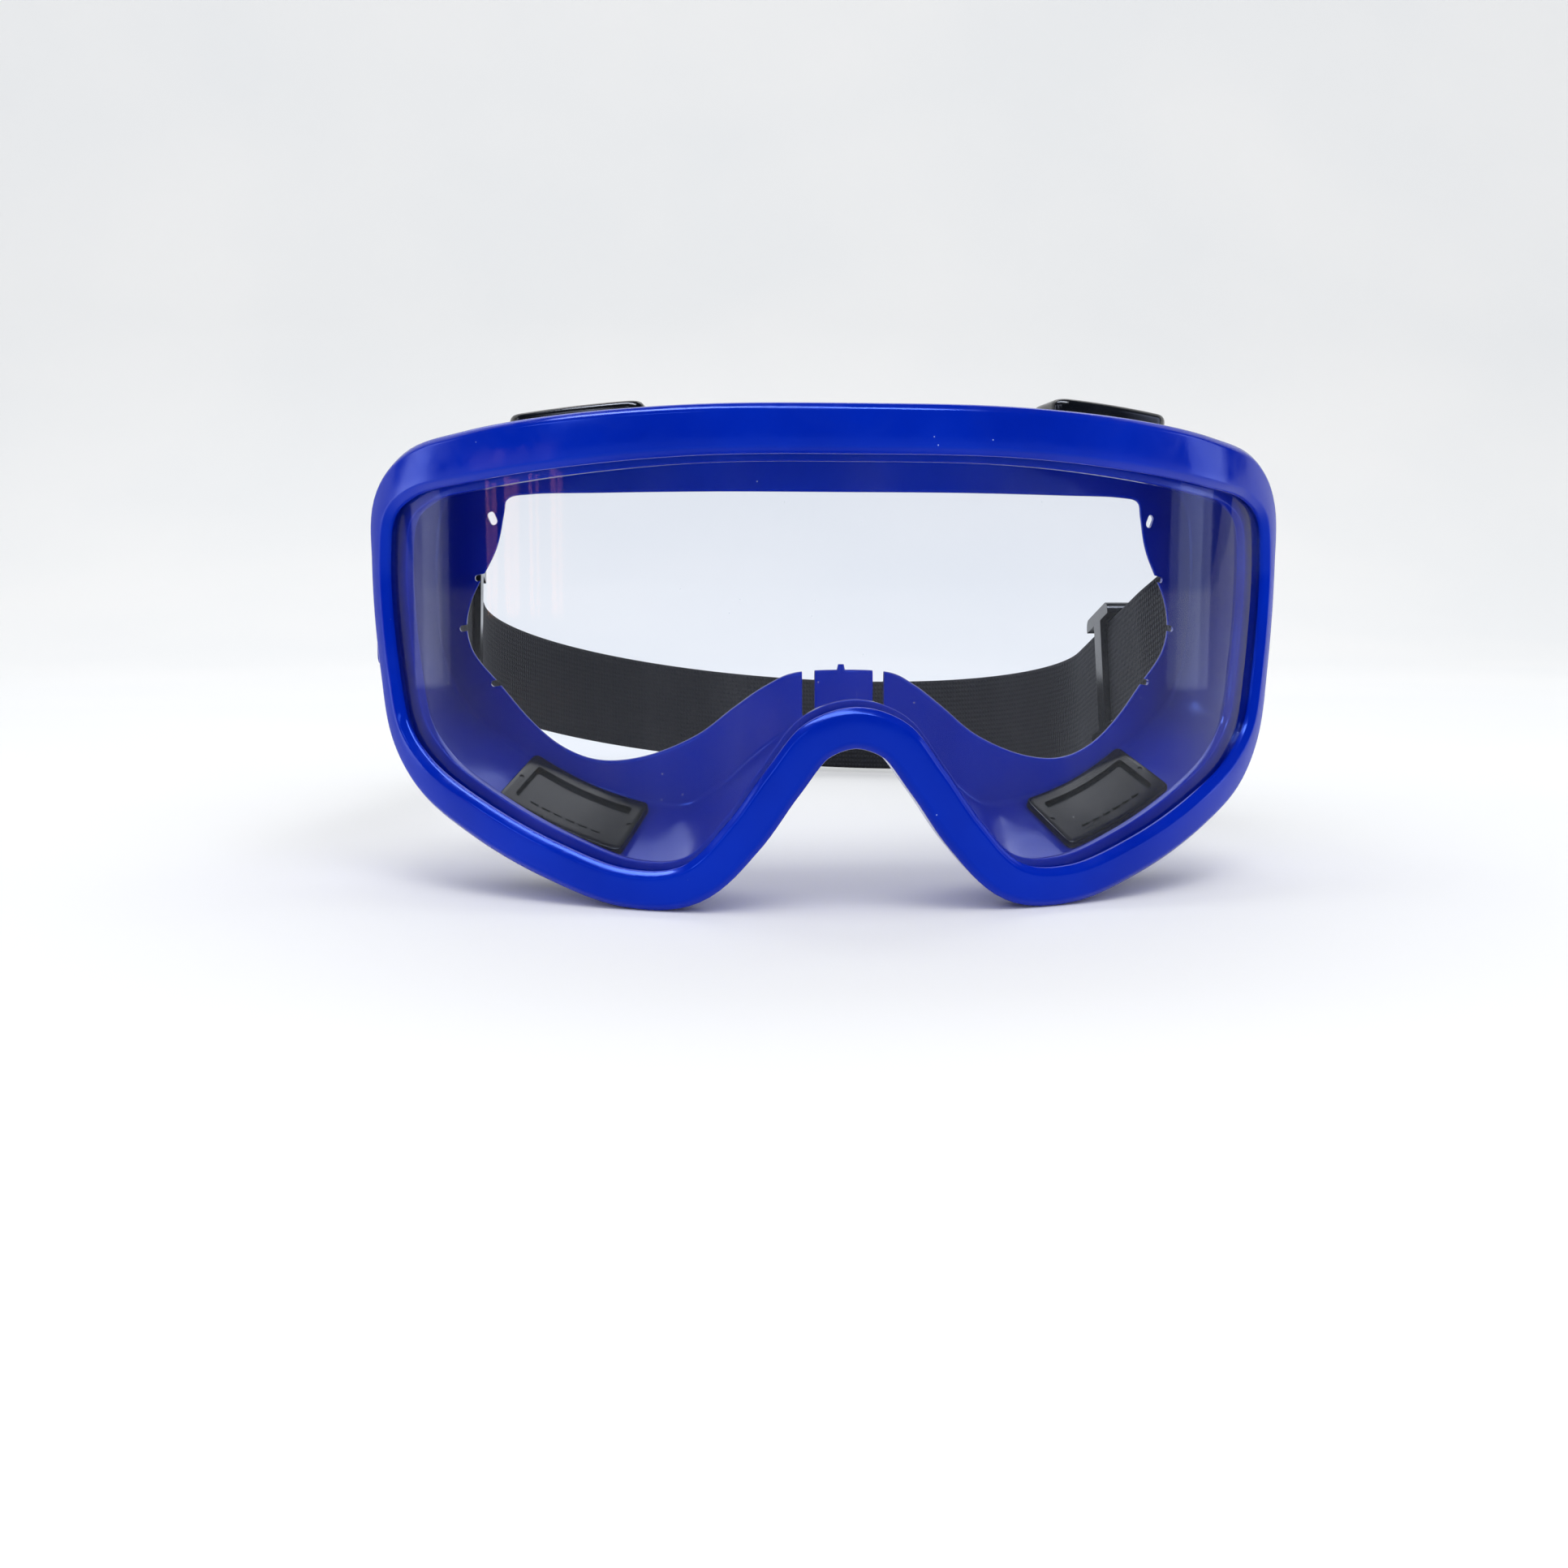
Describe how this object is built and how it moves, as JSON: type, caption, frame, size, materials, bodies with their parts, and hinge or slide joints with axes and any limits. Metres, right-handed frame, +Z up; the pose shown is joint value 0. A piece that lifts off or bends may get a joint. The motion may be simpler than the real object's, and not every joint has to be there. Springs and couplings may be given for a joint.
{
  "type": "safety goggles",
  "caption": "Chemical-splash safety goggles with a soft wraparound body, a curved clear lens, capped side vents and an adjustable elastic head strap.",
  "frame": {"origin": "on the wearer's face, on the middle plane, at half the height of the lens window", "axes": "+X is the wearer's side that shows on the right when the goggles are seen from the front, +Y runs back through the wearer's head, +Z is up; the lens faces -Y"},
  "size_m": [0.1736, 0.217, 0.0875],
  "materials": {
    "blue_pvc": "glossy soft PVC, injection moulded",
    "clear_lens": "clear polycarbonate sheet",
    "black_polypropylene": "glossy black polypropylene, injection moulded",
    "black_elastic": "woven elastic webbing"
  },
  "bodies": {
    "goggles": {"goggle_body": "blue_pvc", "lens": "clear_lens", "vent_cap_top_left": "black_polypropylene", "vent_cap_top_right": "black_polypropylene", "vent_cap_bottom_left": "black_polypropylene", "vent_cap_bottom_right": "black_polypropylene", "vent_frame_top_left": "black_polypropylene", "vent_frame_top_right": "black_polypropylene", "vent_frame_bottom_left": "black_polypropylene", "vent_frame_bottom_right": "black_polypropylene", "strap_loop_left": "black_elastic", "strap_loop_right": "black_elastic"},
    "head_strap": {"strap": "black_elastic", "strap_tail_left": "black_elastic", "strap_tail_right": "black_elastic"},
    "left_adjuster": {"adjuster_left": "black_polypropylene"},
    "right_adjuster": {"adjuster_right": "black_polypropylene"}
  },
  "joints": [
    {"name": "strap_swing", "type": "hinge", "parent": "goggles", "child": "head_strap", "pos_m": [0, 0.03839, 0.013], "axis": [1, 0, 0], "range_deg": [-12, 60]},
    {"name": "adjuster_left_slide", "type": "slide", "parent": "head_strap", "child": "left_adjuster", "axis": [0, 0.9598, -0.2807], "range_m": [-0.016, 0.016]},
    {"name": "adjuster_right_slide", "type": "slide", "parent": "head_strap", "child": "right_adjuster", "axis": [0, 0.9598, -0.2807], "range_m": [-0.016, 0.016]}
  ]
}
